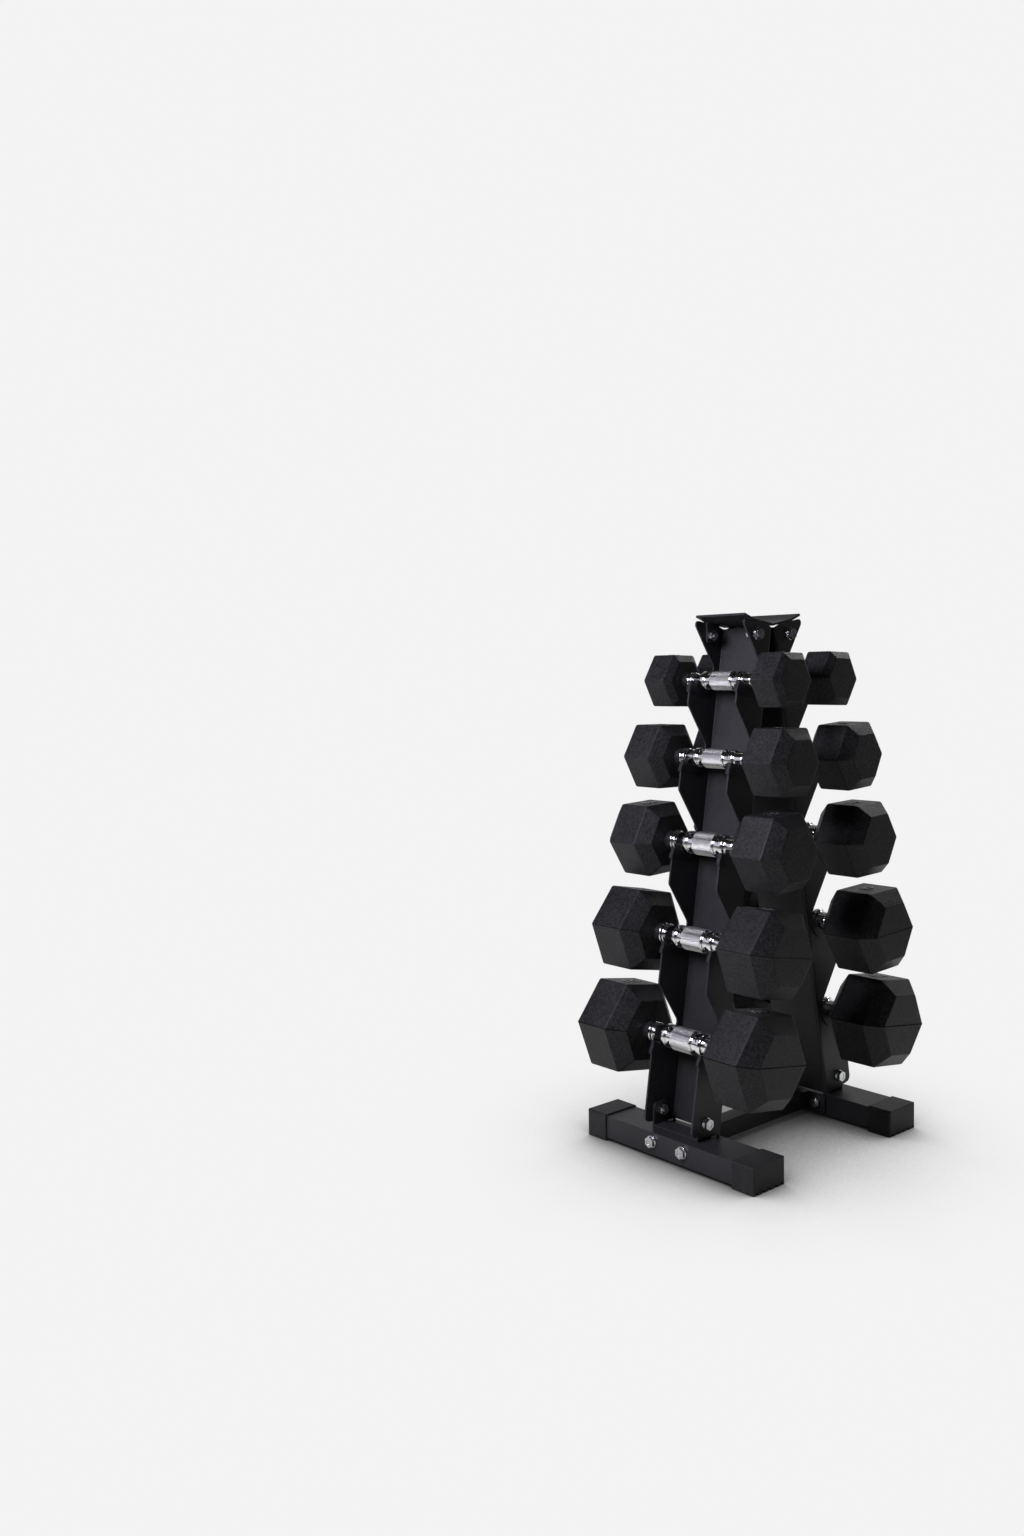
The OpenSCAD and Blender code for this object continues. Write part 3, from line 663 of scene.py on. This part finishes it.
def world():
    """A dim room for the light, and a pale backdrop for the rays that see it."""
    w = bpy.data.worlds.new("studio")
    bpy.context.scene.world = w
    w.use_nodes = True
    t = w.node_tree
    t.nodes.clear()
    out = t.nodes.new("ShaderNodeOutputWorld")
    mix = t.nodes.new("ShaderNodeMixShader")
    path = t.nodes.new("ShaderNodeLightPath")
    dim = t.nodes.new("ShaderNodeBackground")
    dim.inputs[0].default_value = ROOM
    dim.inputs[1].default_value = ROOM_LEVEL
    back = t.nodes.new("ShaderNodeBackground")
    back.inputs[0].default_value = (BACK, BACK, BACK, 1)
    back.inputs[1].default_value = 1.0
    # The paper sweep stands behind and to the left; the room on the other side is dim.
    way = t.nodes.new("ShaderNodeTexCoord").outputs["Generated"]
    dot = t.nodes.new("ShaderNodeVectorMath")
    dot.operation = "DOT_PRODUCT"
    dot.inputs[1].default_value = Vector(SWEEP_WAY).normalized()
    t.links.new(way, dot.inputs[0])
    soft = t.nodes.new("ShaderNodeMapRange")
    soft.interpolation_type = "SMOOTHSTEP"
    soft.inputs["From Min"].default_value = SWEEP_EDGE
    soft.inputs["From Max"].default_value = SWEEP_FULL
    t.links.new(dot.outputs["Value"], soft.inputs["Value"])
    split = t.nodes.new("ShaderNodeSeparateXYZ")
    t.links.new(way, split.inputs[0])
    fall = t.nodes.new("ShaderNodeMapRange")
    fall.interpolation_type = "SMOOTHSTEP"
    fall.inputs["From Min"].default_value = SWEEP_LOW
    fall.inputs["From Max"].default_value = SWEEP_HIGH
    fall.inputs["To Min"].default_value = 1.0
    fall.inputs["To Max"].default_value = SWEEP_TOP
    t.links.new(split.outputs["Z"], fall.inputs["Value"])
    both = t.nodes.new("ShaderNodeMath")
    both.operation = "MULTIPLY"
    t.links.new(soft.outputs["Result"], both.inputs[0])
    t.links.new(fall.outputs["Result"], both.inputs[1])
    t.links.new(seen_rays(t, path, both.outputs[0]), mix.inputs[0])
    t.links.new(dim.outputs[0], mix.inputs[1])
    t.links.new(back.outputs[0], mix.inputs[2])
    t.links.new(mix.outputs[0], out.inputs["Surface"])


def lamp(name, at, to, size, power, tint):
    """A soft rectangular lamp that the camera doesn't see."""
    data = bpy.data.lights.new(name, "AREA")
    data.shape = "RECTANGLE"
    data.size, data.size_y = size
    data.energy = power
    data.color = tint
    ob = bpy.data.objects.new(name, data)
    bpy.context.scene.collection.objects.link(ob)
    ob.location = at
    ob.visible_camera = False
    ob.rotation_euler = (Vector(to) - Vector(at)).to_track_quat("-Z", "Y").to_euler()
    return ob


CAMERA_AT = (1.1141, -1.3543, 0.6432)
CAMERA_YAW = 49.95
CAMERA_PITCH = -4.47
CAMERA_ROLL = -1.2
CAMERA_LENS = 30.06


def camera():
    yaw, pitch, roll = (math.radians(a) for a in (CAMERA_YAW, CAMERA_PITCH, CAMERA_ROLL))
    f = Vector((-math.sin(yaw) * math.cos(pitch), math.cos(yaw) * math.cos(pitch), math.sin(pitch)))
    r = Vector((math.cos(yaw), math.sin(yaw), 0))
    u = r.cross(f)
    r2 = r * math.cos(roll) + u * math.sin(roll)
    u2 = -r * math.sin(roll) + u * math.cos(roll)
    data = bpy.data.cameras.new("camera")
    data.sensor_width = 36
    data.lens = CAMERA_LENS
    data.clip_start = 0.05
    data.clip_end = 60
    ob = bpy.data.objects.new("camera", data)
    bpy.context.scene.collection.objects.link(ob)
    m = Matrix((r2, u2, -f)).transposed().to_4x4()
    m.translation = Vector(CAMERA_AT)
    ob.matrix_world = m
    bpy.context.scene.camera = ob
    return ob


floor()
world()
COOL = (0.88, 0.85, 1.0)
WHITE = (1, 1, 1)
# Name, place, aim, width and height, watts, colour.
LAMPS = [
    ("key", (-0.03, -1.1, 1.05), (0, 0, 0.5), (0.5, 0.5), 18, COOL),
    ("key_left", (-1.7, -2.0, 1.2), (0, 0, 0.35), (1.6, 1.6), 6, COOL),
    ("back_left", (-2.2, 2.4, 0.9), (0, 0, 0.4), (2.2, 1.6), 2.5, WHITE),
    ("back_right", (0.4, 2.6, 0.7), (0, 0, 0.4), (1.6, 1.4), 4, WHITE),
    ("rim", (-0.22, 1.9, 1.65), (0.1, 0, 0.55), (0.6, 0.5), 9, WHITE),
]
for row in LAMPS:
    lamp(*row)
camera()
bpy.context.scene.view_settings.view_transform = "Standard"
